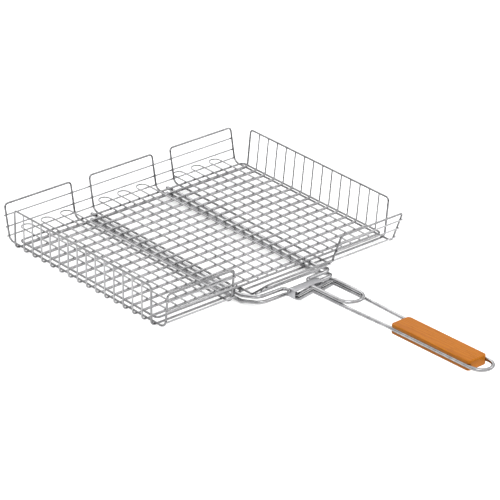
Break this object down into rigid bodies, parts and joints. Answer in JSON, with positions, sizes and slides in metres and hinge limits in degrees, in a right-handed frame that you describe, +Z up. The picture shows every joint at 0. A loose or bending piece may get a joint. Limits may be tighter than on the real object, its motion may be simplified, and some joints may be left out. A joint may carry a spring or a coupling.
{
  "type": "grill basket",
  "caption": "Wire grill basket: an open tray with leaning mesh walls, a flat hinged mesh lid with a slanted front flap, a swinging lock clip and a long wire handle with a wooden grip.",
  "frame": {"origin": "on the resting plane, under the middle of the tray's floor", "axes": "X across the tray (right when seen from the handle), +Y away from the handle, +Z up; the handle runs toward -Y"},
  "size_m": [0.4208, 0.6909, 0.0634],
  "materials": {
    "frame_wire": "bright plated steel wire",
    "mesh_wire": "bright plated thin steel wire",
    "heavy_wire": "bright plated steel rod",
    "sheet": "satin folded sheet steel",
    "wood": "orange-amber lacquered hardwood"
  },
  "bodies": {
    "basket": {"side_wall_loop": "frame_wire", "left_section_loop": "frame_wire", "right_section_loop": "frame_wire", "middle_section_frame": "frame_wire", "floor_wire_1": "mesh_wire", "floor_wire_2": "mesh_wire", "floor_wire_3": "mesh_wire", "floor_wire_4": "mesh_wire", "floor_wire_5": "mesh_wire", "floor_wire_6": "mesh_wire", "floor_wire_7": "mesh_wire", "floor_wire_8": "mesh_wire", "floor_wire_9": "mesh_wire", "floor_wire_10": "mesh_wire", "floor_wire_11": "mesh_wire", "floor_wire_12": "mesh_wire", "floor_wire_13": "mesh_wire", "floor_wire_14": "mesh_wire", "far_rail_low": "mesh_wire", "far_rail_middle": "mesh_wire", "far_rail_high": "mesh_wire", "near_left_rail_low": "mesh_wire", "near_left_rail_middle": "mesh_wire", "near_left_rail_high": "mesh_wire", "near_right_rail_low": "mesh_wire", "near_right_rail_middle": "mesh_wire", "near_right_rail_high": "mesh_wire", "handle_wire": "heavy_wire", "grip": "wood"},
    "lid": {"lid_rim": "frame_wire", "lid_carry_wire": "heavy_wire", "lid_hairpin_1": "mesh_wire", "lid_hairpin_2": "mesh_wire", "lid_hairpin_3": "mesh_wire", "lid_hairpin_4": "mesh_wire", "lid_hairpin_5": "mesh_wire", "lid_hairpin_6": "mesh_wire", "lid_hairpin_7": "mesh_wire", "lid_hairpin_8": "mesh_wire", "lid_hairpin_9": "mesh_wire", "lid_cross_wire_1": "mesh_wire", "lid_cross_wire_2": "mesh_wire", "lid_cross_wire_3": "mesh_wire", "lid_cross_wire_4": "mesh_wire", "lid_cross_wire_5": "mesh_wire", "lid_cross_wire_6": "mesh_wire", "lid_cross_wire_7": "mesh_wire", "lid_cross_wire_8": "mesh_wire", "lid_cross_wire_9": "mesh_wire", "lid_cross_wire_10": "mesh_wire", "lid_cross_wire_11": "mesh_wire", "lid_cross_wire_12": "mesh_wire", "lid_cross_wire_13": "mesh_wire", "lid_cross_wire_14": "mesh_wire", "lid_cross_wire_15": "mesh_wire", "flap_frame": "frame_wire", "flap_rails": "mesh_wire", "lock_pivot": "heavy_wire"},
    "clip": {"lock_clip": "sheet"}
  },
  "joints": [
    {"name": "lid_hinge", "type": "hinge", "parent": "basket", "child": "lid", "pos_m": [0, 0.1581, 0.013], "axis": [-1, 0, 0], "range_deg": [0, 75]},
    {"name": "clip_hinge", "type": "hinge", "parent": "lid", "child": "clip", "pos_m": [0, -0.194, 0.0217], "axis": [-1, 0, 0], "range_deg": [0, 75]}
  ]
}
